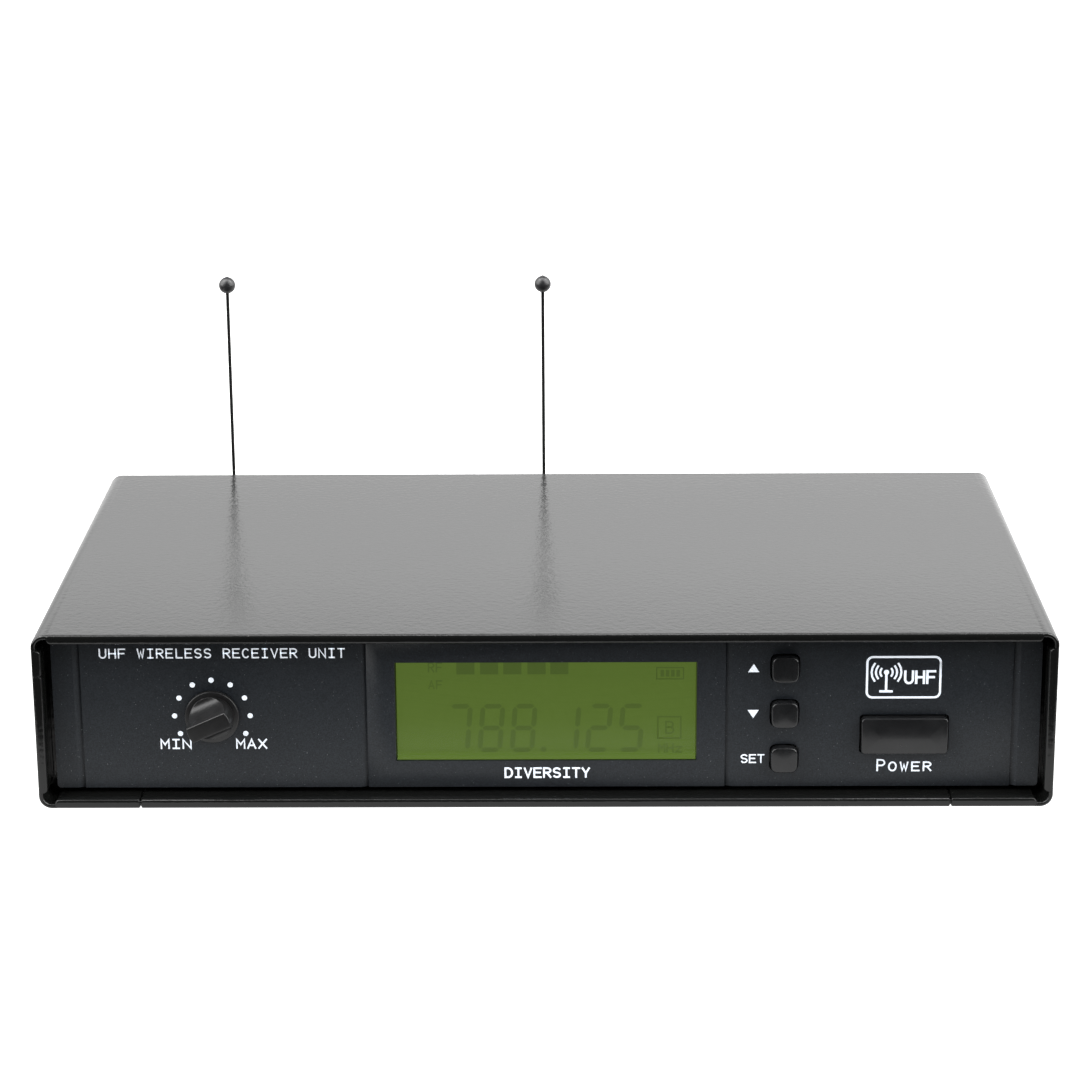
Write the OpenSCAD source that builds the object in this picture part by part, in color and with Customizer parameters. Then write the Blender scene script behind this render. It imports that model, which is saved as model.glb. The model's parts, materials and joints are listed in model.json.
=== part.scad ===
// Half-rack diversity receiver for a wireless microphone, as an assembly of separate pieces.
// Millimetres. +X is to the right, +Y runs from the front to the rear and +Z is up.
// The feet stand on z = 0. "Behind" below means the distance from the front lip towards the rear.

/* [Case] */
// Outer width of the case
case_w = 212; // [205:1:250]
// Outer height of the case, without its feet
case_h = 38.3; // [36:0.1:50]
// Depth of the case from front lip to rear lip
case_d = 120; // [110:1:200]
// Thickness of the sheet steel
sheet_t = 1; // [0.7:0.05:1.2]
// Outer radius of the case's four long bends
bend_r = 2.7; // [2.5:0.1:4]
// Width of the tray between the cover's bottom flanges
tray_w = 169; // [160:1:172]
// Gap at each seam between the tray and a flange
seam_gap = 0.4; // [0.2:0.1:0.6]
// How far the front hem is folded back
front_hem_d = 8; // [6:0.5:8]
// How far the rear hem is folded back
rear_hem_d = 3; // [2:0.5:4]
// Distance from a corner's outside to where its hems start
hem_inset = 3.4; // [3.4:0.1:5]
// Height of the rubber feet
foot_h = 2.5; // [2:0.5:5]
// Radius of the rubber feet
foot_r = 6; // [4:0.5:7]
// Distance of a foot's centre from the nearer lip
foot_inset = 22; // [12:1:30]

/* [Front panel] */
// How far the panel's face lies behind the front lip
panel_recess = 4.3; // [3:0.1:5]
// Distance from the case's outside to the panel's edge
panel_margin = 3.1; // [2.5:0.1:5]
// How far the panel sits to the right of the case's middle
panel_x = 0.3; // [-0.5:0.1:0.5]
// Thickness of the panel's face
panel_t = 2.5; // [2:0.1:2.7]
// Width of the four upright grooves
groove_w = 1.5; // [1:0.1:3]
// Depth of the four upright grooves
groove_depth = 0.4; // [0.2:0.1:0.8]
// Distance of the inner grooves from the panel's middle
groove_inner_x = 38.1; // [35:0.1:40]
// Distance of the outer grooves from the panel's middle
groove_outer_x = 97.7; // [92:0.1:99]
// Thickness of the steel bracket behind the panel
bracket_t = 1; // [0.8:0.1:1.2]

/* [Display] */
// Width of the display opening
window_w = 62.9; // [50:0.1:66]
// Height of the display opening
window_h = 21.8; // [14:0.1:23]
// Height of the display's middle above the panel's middle
window_up = 0.7; // [-1:0.1:1]

/* [Volume control] */
// Position of the knob from the middle
knob_x = -69.4; // [-80:0.1:-55]
// How far the knob stands out of the panel
knob_h = 7.5; // [6:0.1:12]
// Radius of the knob's body
knob_r = 4.65; // [4.2:0.05:5.2]
// Radius of the knob's skirt
skirt_r = 5.7; // [5.3:0.1:6]
// Thickness of the knob's skirt
skirt_t = 1; // [0.8:0.1:1.5]
// Width of the wing across the knob
wing_w = 3.4; // [2.5:0.1:4]
// Where the wing points at rest, in degrees anticlockwise from upright
knob_rest = 114; // [100:1:120]

/* [Buttons] */
// Position of the three small buttons from the middle
button_x = 50; // [45:0.5:55]
// Distance between the small buttons
button_pitch = 10; // [8.5:0.1:10.5]
// Height of the middle button above the panel's middle
button_up = 0.3; // [-0.5:0.1:0.5]
// Width and height of a small button
button_w = 5.6; // [4.5:0.1:6]
// How far a small button stands out of the panel
button_rise = 2; // [1:0.1:2.5]
// Position of the power button from the middle
power_x = 75; // [72:0.5:80]
// Height of the power button above the panel's middle
power_up = -4.4; // [-6:0.1:4]
// Width of the power button
power_w = 18; // [12:0.1:20]
// Height of the power button
power_h = 8; // [6:0.1:9]
// How far the power button stands out of the panel
power_rise = 2.2; // [1:0.1:3]
// Radius of the power button's rounded face
power_face_r = 14; // [7:0.5:20]

/* [Antennas] */
// Position of the left antenna from the middle
antenna_a_x = -77.5; // [-80:0.5:-75]
// Position of the middle antenna from the middle
antenna_b_x = -1.3; // [-5:0.1:5]
// Distance from an antenna's pivot to the middle of its tip
whip_len = 63.2; // [40:0.1:70]
// Diameter of the antenna wire
whip_d = 0.8; // [0.6:0.1:1.6]
// Diameter of the ball at an antenna's tip
tip_d = 4; // [3:0.1:6]
// Distance of the antenna pivots behind the rear lip
whip_gap = 12; // [12:0.5:20]

/* [Rear connectors] */
// Position of the balanced output from the middle
xlr_x = 32; // [28:1:36]
// Position of the jack output from the middle
jack_x = 60; // [57:1:68]
// Position of the power inlet from the middle
dc_x = -56; // [-60:1:-52]
// Position of the squelch control from the middle
squelch_x = -30; // [-36:1:-24]
// Thickness of the rear panel
rear_t = 1.2; // [1:0.1:1.5]

/* [Hidden] */
$fn = 48;
eps = 0.01;
slide_gap = 0.3;      // clearance round a cap in its hole
fit_gap = 0.05;       // clearance of pieces that sit in each other, and of turning shafts

// Levels. Every depth d below is behind the front lip, and y_front + d is its place.
rear_reach = whip_gap + 3.5;
front_reach = knob_h - panel_recess;
y_front = -(case_d + rear_reach - front_reach) / 2;
z_mid = foot_h + case_h / 2;
z_floor = foot_h + sheet_t;
inner_w = case_w - 2 * sheet_t;
inner_h = case_h - 2 * sheet_t;
inner_r = bend_r - sheet_t;

panel_w = case_w - 2 * panel_margin;
panel_h = case_h - 2 * panel_margin;
panel_r = 0.8;
panel_back = panel_recess + panel_t;
bracket_d = front_hem_d + 0.4;
bracket_back = bracket_d + bracket_t;
plate_gap = 0.2;      // clearance of the bracket and the rear panel in the case
rear_out = case_d - rear_hem_d - 0.1;
rear_in = rear_out - rear_t;
flange_d = 8;         // foot of the bracket and of the rear panel, on the tray
flange_w = tray_w - 8;
joggle_w = 9;
joggle_lap = 2;
cover_flange_x = tray_w / 2 + seam_gap;

// M3 screws
screw_r = 1.45;
thread_r = 1.5;
clear_r = 1.7;
head_r = 2.7;
head_h = 1.3;
screw_len = 3.6;
flange_screw_x = tray_w / 2 + 5;
floor_screw_x = 60;
floor_screws = [for (sx = [-1, 1], d = [bracket_back + 4, rear_in - 4]) [sx * floor_screw_x, d]];
side_screws = [for (sx = [-1, 1], d = [foot_inset + 21, case_d - foot_inset - 21]) [sx * flange_screw_x, d]];

// Display stack
glass_gap = 0.15;
window_d = panel_recess + 0.2;
frame_d = panel_back + 0.1;
frame_rim = 1.9;      // how far the display's frame reaches past the opening
frame_t = 0.5;
glass_rim = frame_rim - frame_t - glass_gap;
glass_d = frame_d + 0.1;
glass_t = 2.2;

// Front board
fboard_x0 = -54;
fboard_x1 = 62;
fboard_d = bracket_back + 4.6;
fboard_t = 1.6;
fboard_h = inner_h - 6;
spacer_r = 2.5;
fboard_posts = [for (x = [fboard_x0 + 4, fboard_x1 - 4], sz = [-1, 1]) [x, sz * (fboard_h / 2 - 3.2)]];

// Panel bosses, in the panel's corners and beside the display
boss_r = 2.4;
bosses = [for (sx = [-1, 1], sz = [-1, 1]) [panel_x + sx * (panel_w / 2 - 13), sz * (panel_h / 2 - 4.2)]];

// Volume pot
shaft_r = 3;
bushing_r = 3.5;
pot_r = 8;
pot_depth = 9;
pot_nut_r = 5.7;
pot_nut_t = 1.5;
knob_gap = 0.2;
shaft_front = panel_recess - 2.2;
// Each scoop beside the wing is part of a cylinder whose axis lies in front of the knob's face. It
// runs out of the knob's side a little above the skirt.
scoop_lead = 0.6;
scoop_rise = knob_h - knob_gap - skirt_t - 0.5 + scoop_lead;
scoop_reach = knob_r - wing_w / 2;
scoop_r = (scoop_rise * scoop_rise + scoop_reach * scoop_reach) / (2 * scoop_reach);

// Buttons
collar = 0.9;         // collar behind the panel that keeps a cap in
collar_t = 0.8;
collar_d = panel_back + 0.2;
cap_foot = collar_d + collar_t;
button_travel = 0.5;
switch_w = 6;
switch_t = 3.5;
switch_d = fboard_d - switch_t;
plunger_r = 1.75;
buttons_z = [for (i = [1, 0, -1]) button_up + i * button_pitch];

// Power switch
power_z = z_mid + power_up;
power_travel = 1.8;
pswitch_w = 8.4;
pswitch_d = 22;
pswitch_len = 12;
pplunger_w = 3;

// Main board
board_w = 176;
board_d0 = pswitch_d - 1.5;
board_d1 = rear_in - 8.5;
standoff_h = 5;
board_t = 1.6;
board_z = z_floor + standoff_h;
board_top = board_z + board_t;
standoffs = [for (sx = [-1, 1], d = [board_d0 + 22, board_d1 - 9]) [sx * 76, d]];

// Rear connectors
xlr_w = 26;
xlr_h = 31;
xlr_flange_t = 1.8;
xlr_r = 11;
xlr_bore_r = 8.2;
xlr_depth = 19;
xlr_pin_r = 1.2;
xlr_pin_circle = 4.75;
xlr_screw_dx = 9.5;
xlr_screw_dz = 12;
jack_bore_r = 3.2;
jack_thread_r = 4.75;
jack_out = 4.6;
jack_len = 31;
jack_w = 14;
jack_nut_r = 8;
dc_w = 9;
dc_h = 11;
dc_len = 13.5;
dc_bore_r = 2.8;
dc_pin_r = 1.05;
squelch_r = 6.5;

// Antenna sockets and swivels
socket_r = 4;
socket_bore_r = 2.5;
socket_in = rear_in - 7;
socket_out = rear_out + 4.4;
antenna_nut_r = 6.4;
lead_r = 0.9;
whip_d_back = case_d + whip_gap;
ear_r = 3.5;
ear_t = 1.4;
hub_w = 3;
hub_r = 2.8;
pivot_r = 1;
ferrule_top = 9;

// ---- helpers ----

// Extrudes a drawing in x and z from depth d to depth d + t
module slab(d, t)
    translate([0, y_front + d + t, z_mid])
        rotate([90, 0, 0])
            linear_extrude(t) children();

// A round bar along Y from depth d0 to depth d1, at x and at z above the middle
module bar(x, up, d0, d1, r)
    translate([x, y_front + d0, z_mid + up])
        rotate([-90, 0, 0])
            cylinder(h = d1 - d0, r = r);

// A six-sided nut round a hole, between two depths
module hex_nut(x, up, d, t, r, hole_r)
    difference() {
        translate([x, y_front + d, z_mid + up])
            rotate([-90, 0, 0])
                cylinder(h = t, r = r, $fn = 6);
        bar(x, up, d - 1, d + t + 1, hole_r);
    }

// A box from a low corner, with its depth counted behind the front lip
module block(x, d, z, w, len, h)
    translate([x, y_front + d, z])
        cube([w, len, h]);

// A rectangle with round corners, centred
module round_rect(w, h, r) {
    square([w - 2 * r, h], center = true);
    square([w, h - 2 * r], center = true);
    for (sx = [-1, 1], sy = [-1, 1])
        translate([sx * (w / 2 - r), sy * (h / 2 - r)])
            circle(r);
}

// A square with bulging sides: |x|^p + |y|^p = r^p
function squircle(w, p = 4.4, n = 48) = [
    for (i = [0 : n - 1])
        let (a = 360 * i / n, c = cos(a), s = sin(a))
            w / 2 * [sign(c) * pow(abs(c), 2 / p), sign(s) * pow(abs(s), 2 / p)]
];

// A pan-head screw that points up from z, its head below z
module screw_up(x, d, z, len = screw_len)
    translate([x, y_front + d, z]) {
        difference() {
            translate([0, 0, -head_h])
                cylinder(h = head_h, r = head_r);
            for (a = [0, 90])
                rotate(a)
                    translate([-1.5, -0.3, -head_h - 1])
                        cube([3, 0.6, 1.7]);
        }
        cylinder(h = len, r = screw_r);
    }

// A pan-head screw that points to the front from depth d, its head behind
module screw_y(x, up, d, len)
    translate([x, y_front + d, z_mid + up])
        rotate([90, 0, 0])
            difference() {
                union() {
                    translate([0, 0, -head_h])
                        cylinder(h = head_h, r = head_r);
                    cylinder(h = len, r = screw_r);
                }
                for (a = [0, 90])
                    rotate(a)
                        translate([-1.5, -0.3, -head_h - 1])
                            cube([3, 0.6, 1.7]);
            }

// ---- case ----

// The case's sheet, seen from the front
module sheet_ring()
    difference() {
        round_rect(case_w, case_h, bend_r);
        round_rect(inner_w, inner_h, inner_r);
    }

// The folded-back layer inside the sheet: top, sides and bottom, clear of the corners
module hem_strips() {
    run_x = case_w - 2 * hem_inset;
    run_z = case_h - 2 * hem_inset;
    for (s = [-1, 1]) {
        translate([0, s * (case_h / 2 - 1.5 * sheet_t)])
            square([run_x, sheet_t + eps], center = true);
        translate([s * (case_w / 2 - 1.5 * sheet_t), 0])
            square([sheet_t + eps, run_z], center = true);
    }
}

// The bottom's middle, which belongs to the tray, as a drawing
module tray_zone(w)
    translate([0, -case_h / 2])
        square([w, 4 * sheet_t + 1], center = true);

module cover() color("#2b2c2c") {
    difference() {
        union() {
            slab(0, case_d)
                difference() {
                    sheet_ring();
                    tray_zone(2 * cover_flange_x);
                }
            for (h = [[0, front_hem_d], [case_d - rear_hem_d, rear_hem_d]])
                slab(h[0], h[1])
                    difference() {
                        hem_strips();
                        tray_zone(2 * cover_flange_x);
                    }
        }
        for (s = side_screws)
            translate([s[0], y_front + s[1], 0])
                cylinder(h = foot_h + 2 * sheet_t, r = clear_r);
    }
}

module tray() color("#303131") {
    difference() {
        union() {
            block(-tray_w / 2, 0, foot_h, tray_w, case_d, sheet_t);
            for (h = [[0, front_hem_d], [case_d - rear_hem_d, rear_hem_d]])
                block(-tray_w / 2, h[0], z_floor - eps, tray_w, h[1], sheet_t + eps);
            for (s = [-1, 1])
                block(s * (tray_w / 2 + (joggle_w - joggle_lap) / 2) - (joggle_w + joggle_lap) / 2,
                      bracket_back + 0.6, z_floor,
                      joggle_w + joggle_lap, rear_in - bracket_back - 1.2, sheet_t);
        }
        for (s = floor_screws)
            translate([s[0], y_front + s[1], 0])
                cylinder(h = z_floor + 1, r = clear_r);
        for (s = side_screws)
            translate([s[0], y_front + s[1], 0])
                cylinder(h = z_floor + 2, r = thread_r);
    }
}

module feet() color("#1a1a1a")
    for (sx = [-1, 1], d = [foot_inset, case_d - foot_inset])
        translate([sx * (case_w / 2 - 13), y_front + d, 0])
            rotate_extrude()
                polygon([[0, 0], [foot_r - 0.8, 0], [foot_r, foot_h], [0, foot_h]]);

module case_screws() color("#3a3a3a") {
    for (s = floor_screws)
        screw_up(s[0], s[1], foot_h);
    for (s = side_screws)
        screw_up(s[0], s[1], foot_h);
}

// ---- front ----

module power_slot(grow)
    translate([power_x, power_up])
        round_rect(power_w + 2 * grow, power_h + 2 * grow, 0.8);

module button_holes(grow)
    for (up = buttons_z)
        translate([button_x, up])
            polygon(squircle(button_w + 2 * grow));

// The display opening's outline, a given distance outside the opening's own edge
module display_zone(grow)
    translate([panel_x, window_up])
        square([window_w + 2 * grow, window_h + 2 * grow], center = true);

module panel_zone()
    translate([panel_x, 0])
        round_rect(panel_w, panel_h, panel_r);

module front_panel() color("#34383c")
    difference() {
        union() {
            slab(panel_recess, panel_t)
                panel_zone();
            slab(panel_back - eps, bracket_d - panel_back + eps)
                difference() {
                    panel_zone();
                    translate([panel_x, 0])
                        square([panel_w - 3, panel_h - 3], center = true);
                }
            for (b = bosses)
                bar(b[0], b[1], panel_back - eps, bracket_d, boss_r);
        }
        for (x = [-groove_outer_x, -groove_inner_x, groove_inner_x, groove_outer_x])
            block(panel_x + x - groove_w / 2, panel_recess - 1, foot_h, groove_w, 1 + groove_depth, case_h);
        slab(panel_recess - 1, panel_t + 2)
            display_zone(0);
        slab(panel_recess - 1, panel_t + 2)
            button_holes(slide_gap);
        slab(panel_recess - 1, panel_t + 2)
            power_slot(slide_gap);
        bar(knob_x, 0, panel_recess - 1, panel_back + 1, bushing_r + 0.2);
        for (b = bosses)
            bar(b[0], b[1], panel_back - 1, bracket_d + 1, thread_r);
    }

module front_bracket() color("#1d1e1f")
    difference() {
        union() {
            slab(bracket_d, bracket_t)
                round_rect(inner_w - 2 * plate_gap, inner_h - 2 * plate_gap, inner_r);
            block(-flange_w / 2, bracket_back - eps, z_floor, flange_w, flange_d + eps, bracket_t);
            block(-flange_w / 2, bracket_d, z_floor, flange_w, bracket_t, 2);
            for (p = fboard_posts)
                bar(p[0], p[1], bracket_back - eps, fboard_d, spacer_r);
        }
        slab(bracket_d - 1, bracket_t + 2)
            display_zone(frame_rim + 0.3);
        slab(bracket_d - 1, bracket_t + 2)
            translate([button_x, button_up])
                square([button_w + 3, 2 * button_pitch + button_w + 3], center = true);
        slab(bracket_d - 1, bracket_t + 2)
            translate([power_x, power_up])
                square([power_w + 3, power_h + 3], center = true);
        bar(knob_x, 0, bracket_d - 1, bracket_back + 1, bushing_r + 0.1);
        for (b = bosses)
            bar(b[0], b[1], bracket_d - 1, bracket_back + 1, clear_r);
        for (p = fboard_posts)
            bar(p[0], p[1], bracket_d - 1, fboard_d + 1, thread_r);
        for (s = floor_screws)
            translate([s[0], y_front + s[1], 0])
                cylinder(h = z_floor + 3, r = thread_r);
    }

module front_screws() color("#8c8f93") {
    for (b = bosses)
        screw_y(b[0], b[1], bracket_back, 3.2);
    for (p = fboard_posts)
        screw_y(p[0], p[1], fboard_d + fboard_t, 5);
}

module display_window() color("#c8d6cc", 0.4)
    slab(window_d, glass_d - window_d)
        display_zone(-glass_gap);

module display_glass() color("#5b6f2f")
    slab(glass_d, glass_t)
        display_zone(glass_rim);

module display_frame() color("#9a9ca0")
    difference() {
        slab(frame_d, fboard_d - frame_d)
            display_zone(frame_rim);
        slab(frame_d - 1, fboard_d - frame_d - frame_t + 1)
            display_zone(frame_rim - frame_t);
    }

module display_backlight() color("#dfe6c8")
    slab(glass_d + glass_t, fboard_d - frame_t - glass_d - glass_t)
        display_zone(glass_rim);

module front_board() color("#1f5a33")
    difference() {
        slab(fboard_d, fboard_t)
            translate([(fboard_x0 + fboard_x1) / 2, 0])
                square([fboard_x1 - fboard_x0, fboard_h], center = true);
        for (p = fboard_posts)
            bar(p[0], p[1], fboard_d - 1, fboard_d + fboard_t + 1, clear_r);
    }

module key_switches() color("#26282a")
    for (up = buttons_z)
        difference() {
            slab(switch_d, switch_t)
                translate([button_x, up])
                    square([switch_w, switch_w], center = true);
            bar(button_x, up, switch_d - 1, switch_d + 1.4, plunger_r + slide_gap);
        }

// The ribbon leaves the front board, bends down through a quarter circle and meets the main board
module ribbon_cable() color("#b9bcc0") {
    w = 22;
    t = 0.6;
    r = 4;
    top = board_top + 9;
    d0 = fboard_d + fboard_t;
    d1 = board_d0 + 4;
    translate([-31, y_front, 0])
        rotate([90, 0, 90])
            linear_extrude(w) {
                translate([d0, top - t])
                    square([d1 - r - d0, t]);
                translate([d1 - t, board_top])
                    square([t, top - r - board_top]);
                translate([d1 - r, top - r])
                    intersection() {
                        difference() {
                            circle(r);
                            circle(r - t);
                        }
                        square(r + 1);
                    }
            }
}

module volume_knob() color("#202122")
    difference() {
        union() {
            bar(knob_x, 0, panel_recess - knob_gap - skirt_t, panel_recess - knob_gap, skirt_r);
            bar(knob_x, 0, panel_recess - knob_h, panel_recess - knob_gap - skirt_t + eps, knob_r);
        }
        translate([knob_x, y_front + panel_recess - knob_h - scoop_lead, z_mid])
            rotate([0, 90 - knob_rest, 0])
                for (s = [-1, 1])
                    translate([0, 0, s * (wing_w / 2 + scoop_r)])
                        rotate([0, 90, 0])
                            cylinder(h = 6 * knob_r, r = scoop_r, center = true);
        volume_shaft_solid(fit_gap);
    }

module volume_shaft_solid(grow)
    difference() {
        bar(knob_x, 0, shaft_front - grow, bracket_back + 4, shaft_r + grow);
        translate([knob_x, 0, z_mid])
            rotate([0, 90 - knob_rest, 0])
                translate([-shaft_r * 2, y_front + shaft_front - 1, shaft_r - 1.5 + grow])
                    cube([shaft_r * 4, panel_recess - shaft_front, shaft_r * 2]);
    }

module volume_shaft() color("#a9abae")
    volume_shaft_solid(0);

module volume_pot() color("#4c5a6a")
    difference() {
        union() {
            bar(knob_x, 0, bracket_back, bracket_back + pot_depth, pot_r);
            bar(knob_x, 0, panel_recess + 0.5, bracket_back + eps, bushing_r);
        }
        bar(knob_x, 0, panel_recess - 1, bracket_back + 5, shaft_r + fit_gap);
    }

module pot_nuts() color("#b4b6b8") {
    hex_nut(knob_x, 0, bracket_d - pot_nut_t, pot_nut_t, pot_nut_r, bushing_r + fit_gap);
    hex_nut(squelch_x, 0, rear_out, pot_nut_t, pot_nut_r, bushing_r + fit_gap);
}

module button_cap(up) color("#1f2021") {
    slab(panel_recess - button_rise, collar_d - panel_recess + button_rise + eps)
        translate([button_x, up])
            polygon(squircle(button_w));
    slab(collar_d, collar_t)
        translate([button_x, up])
            polygon(squircle(button_w + 2 * collar));
}

module up_button() button_cap(buttons_z[0]);
module down_button() button_cap(buttons_z[1]);
module set_button() button_cap(buttons_z[2]);

module plunger(up) color("#101010")
    bar(button_x, up, cap_foot, switch_d + 0.6, plunger_r);

module up_plunger() plunger(buttons_z[0]);
module down_plunger() plunger(buttons_z[1]);
module set_plunger() plunger(buttons_z[2]);

module power_button() color("#1f2021") {
    face_d = panel_recess - power_rise;
    intersection() {
        slab(face_d, collar_d - face_d + eps)
            power_slot(0);
        translate([power_x, y_front + face_d + power_face_r, power_z])
            rotate([0, 90, 0])
                cylinder(h = 2 * power_w, r = power_face_r, center = true, $fn = 96);
    }
    slab(collar_d, collar_t)
        power_slot(collar);
}

module power_plunger() color("#e6e6e6")
    block(power_x - pplunger_w / 2, cap_foot, power_z - pplunger_w / 2,
          pplunger_w, pswitch_d + 4 - cap_foot, pplunger_w);

module power_switch() color("#2c3a66")
    difference() {
        union() {
            block(power_x - pswitch_w / 2, pswitch_d, power_z - pswitch_w / 2, pswitch_w, pswitch_len, pswitch_w);
            for (s = [-1, 1], d = [2, 6, 10])
                block(power_x + s * 2.5 - 0.4, pswitch_d + d, board_top, 0.8, 0.8, power_z - board_top);
        }
        block(power_x - pplunger_w / 2 - 0.2, pswitch_d - 1, power_z - pplunger_w / 2 - 0.2,
              pplunger_w + 0.4, 7 + power_travel, pplunger_w + 0.4);
    }

// ---- inside ----

module main_board() color("#1f5a33")
    difference() {
        block(-board_w / 2, board_d0, board_z, board_w, board_d1 - board_d0, board_t);
        for (s = standoffs)
            translate([s[0], y_front + s[1], board_z - 1])
                cylinder(h = board_t + 2, r = clear_r);
    }

module board_standoffs() color("#b08d4a")
    for (s = standoffs)
        translate([s[0], y_front + s[1], z_floor])
            difference() {
                cylinder(h = standoff_h, r = 3, $fn = 6);
                translate([0, 0, 1])
                    cylinder(h = standoff_h, r = thread_r);
            }

module board_screws() color("#8c8f93")
    for (s = standoffs)
        translate([s[0], y_front + s[1], board_top])
            mirror([0, 0, 1])
                translate([0, -y_front, 0])
                    screw_up(0, 0, 0, 5);

// The two tuners' shield cans, each a box with a lid that overlaps its walls
module tuner_cans() color("#c3c5c6")
    for (x = [antenna_a_x + 7, antenna_b_x]) {
        block(x - 16, board_d1 - 40, board_top, 32, 26, 8);
        block(x - 16.3, board_d1 - 40.3, board_top + 5, 32.6, 26.6, 3.4);
    }

cap_spots = [
    [-46, 84, 4, 12], [-34, 84, 4, 12], [58, 60, 3.15, 9],
    [66, 60, 3.15, 9], [74, 60, 3.15, 9], [42, 44, 2.5, 8]
];
module capacitors() color("#20365c")
    for (c = cap_spots)
        translate([c[0], y_front + c[1], board_top])
            cylinder(h = c[3], r = c[2]);

chip_spots = [
    [-40, 40, 14, 14], [-10, 44, 10, 8], [20, 48, 10, 8],
    [34, 66, 8, 6], [52, 78, 9, 7], [-64, 50, 8, 8]
];
module chips() color("#18191a")
    for (c = chip_spots)
        block(c[0] - c[2] / 2, c[1] - c[3] / 2, board_top, c[2], c[3], 1.8);

regulator_x = -36;
regulator_d = 92;
module regulator() color("#2a2a2c") {
    block(regulator_x - 5, regulator_d, board_top, 10, 4.4, 15);
}

module heat_sink() color("#3b3d3f") {
    block(regulator_x - 11, regulator_d + 4.4, board_top, 22, 2, 18);
    for (i = [0 : 4])
        block(regulator_x - 11 + i * 5.05, regulator_d + 6.4 - eps, board_top, 1.8, 7, 18);
}

// Each lead leaves its socket, bends down and is soldered to the main board
module antenna_leads() color("#2a2a2a")
    for (x = [antenna_a_x, antenna_b_x])
        translate([x, y_front + socket_in - 6, z_mid - 5]) {
            translate([0, 5, 5])
                rotate([-90, 0, 0])
                    cylinder(h = 1, r = lead_r);
            translate([0, 5, 0])
                rotate([0, 90, 0])
                    rotate(180)
                        rotate_extrude(angle = 90)
                            translate([5, 0])
                                circle(lead_r);
            translate([0, 0, board_top + 5 - z_mid])
                cylinder(h = z_mid - 5 - board_top, r = lead_r);
        }

// ---- rear ----

module rear_panel() color("#2b2c2c")
    difference() {
        union() {
            slab(rear_in, rear_t)
                round_rect(inner_w - 2 * plate_gap, inner_h - 2 * plate_gap, inner_r);
            block(-flange_w / 2, rear_in - flange_d, z_floor, flange_w, flange_d + eps, rear_t);
            block(-flange_w / 2, rear_in, z_floor, flange_w, rear_t, 2);
        }
        for (x = [antenna_a_x, antenna_b_x])
            bar(x, 0, rear_in - 1, rear_out + 1, socket_r + 0.1);
        bar(xlr_x, 0, rear_in - 1, rear_out + 1, xlr_r + 0.2);
        for (s = [-1, 1])
            bar(xlr_x + s * xlr_screw_dx, s * xlr_screw_dz, rear_in - 1, rear_out + 1, thread_r);
        bar(jack_x, 0, rear_in - 1, rear_out + 1, jack_thread_r + 0.15);
        bar(squelch_x, 0, rear_in - 1, rear_out + 1, bushing_r + 0.1);
        slab(rear_in - 1, rear_t + 2)
            translate([dc_x, 0])
                square([dc_w + 0.3, dc_h + 0.3], center = true);
        for (s = floor_screws)
            translate([s[0], y_front + s[1], 0])
                cylinder(h = z_floor + 3, r = thread_r);
    }

module xlr_shell() color("#3a3b3c")
    difference() {
        union() {
            slab(rear_out, xlr_flange_t)
                translate([xlr_x, 0])
                    round_rect(xlr_w, xlr_h, 3);
            bar(xlr_x, 0, rear_out + xlr_flange_t - xlr_depth, rear_out + eps, xlr_r);
        }
        bar(xlr_x, 0, rear_out - xlr_depth, rear_out + xlr_flange_t + 1, xlr_bore_r);
        for (s = [-1, 1])
            bar(xlr_x + s * xlr_screw_dx, s * xlr_screw_dz, rear_out - 1, rear_out + xlr_flange_t + 1, clear_r);
    }

module xlr_screws() color("#3a3a3a")
    for (s = [-1, 1])
        screw_y(xlr_x + s * xlr_screw_dx, s * xlr_screw_dz, rear_out + xlr_flange_t, 6);

xlr_floor = rear_out + xlr_flange_t - 15;
function xlr_pin(i) = [xlr_x + xlr_pin_circle * sin(120 * i + 60), xlr_pin_circle * cos(120 * i + 60)];

module xlr_insert() color("#141414")
    difference() {
        bar(xlr_x, 0, rear_out + xlr_flange_t - xlr_depth, xlr_floor, xlr_bore_r - fit_gap);
        for (i = [0 : 2])
            bar(xlr_pin(i)[0], xlr_pin(i)[1], rear_out - xlr_depth, xlr_floor + 1, xlr_pin_r + 0.02);
    }

module xlr_pins() color("#c9b26a")
    for (i = [0 : 2]) {
        bar(xlr_pin(i)[0], xlr_pin(i)[1], xlr_floor - 7, xlr_floor + 10.8, xlr_pin_r);
        translate([xlr_pin(i)[0], y_front + xlr_floor + 10.8 - eps, z_mid + xlr_pin(i)[1]])
            rotate([-90, 0, 0])
                cylinder(h = 0.9, r1 = xlr_pin_r, r2 = 0.5);
    }

module output_jack() color("#1b1c1d")
    difference() {
        union() {
            slab(rear_out + jack_out - jack_len - 2.4, rear_in - rear_out - jack_out + jack_len + 2.4)
                translate([jack_x, 0])
                    square([jack_w, jack_w], center = true);
            bar(jack_x, 0, rear_in - eps, rear_out + jack_out, jack_thread_r);
        }
        bar(jack_x, 0, rear_out + jack_out - jack_len, rear_out + jack_out + 1, jack_bore_r);
    }

module jack_nut() color("#b4b6b8")
    hex_nut(jack_x, 0, rear_out, 2.2, jack_nut_r, jack_thread_r + fit_gap);

module dc_inlet() color("#161617")
    difference() {
        slab(rear_out - dc_len, dc_len)
            translate([dc_x, 0])
                square([dc_w, dc_h], center = true);
        bar(dc_x, 0, rear_out - 9.5, rear_out + 1, dc_bore_r);
        bar(dc_x, 0, rear_out - dc_len + 2, rear_out, dc_pin_r + 0.02);
    }

module dc_pin() color("#c8c9ca")
    bar(dc_x, 0, rear_out - dc_len + 2, rear_out - 0.6, dc_pin_r);

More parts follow.
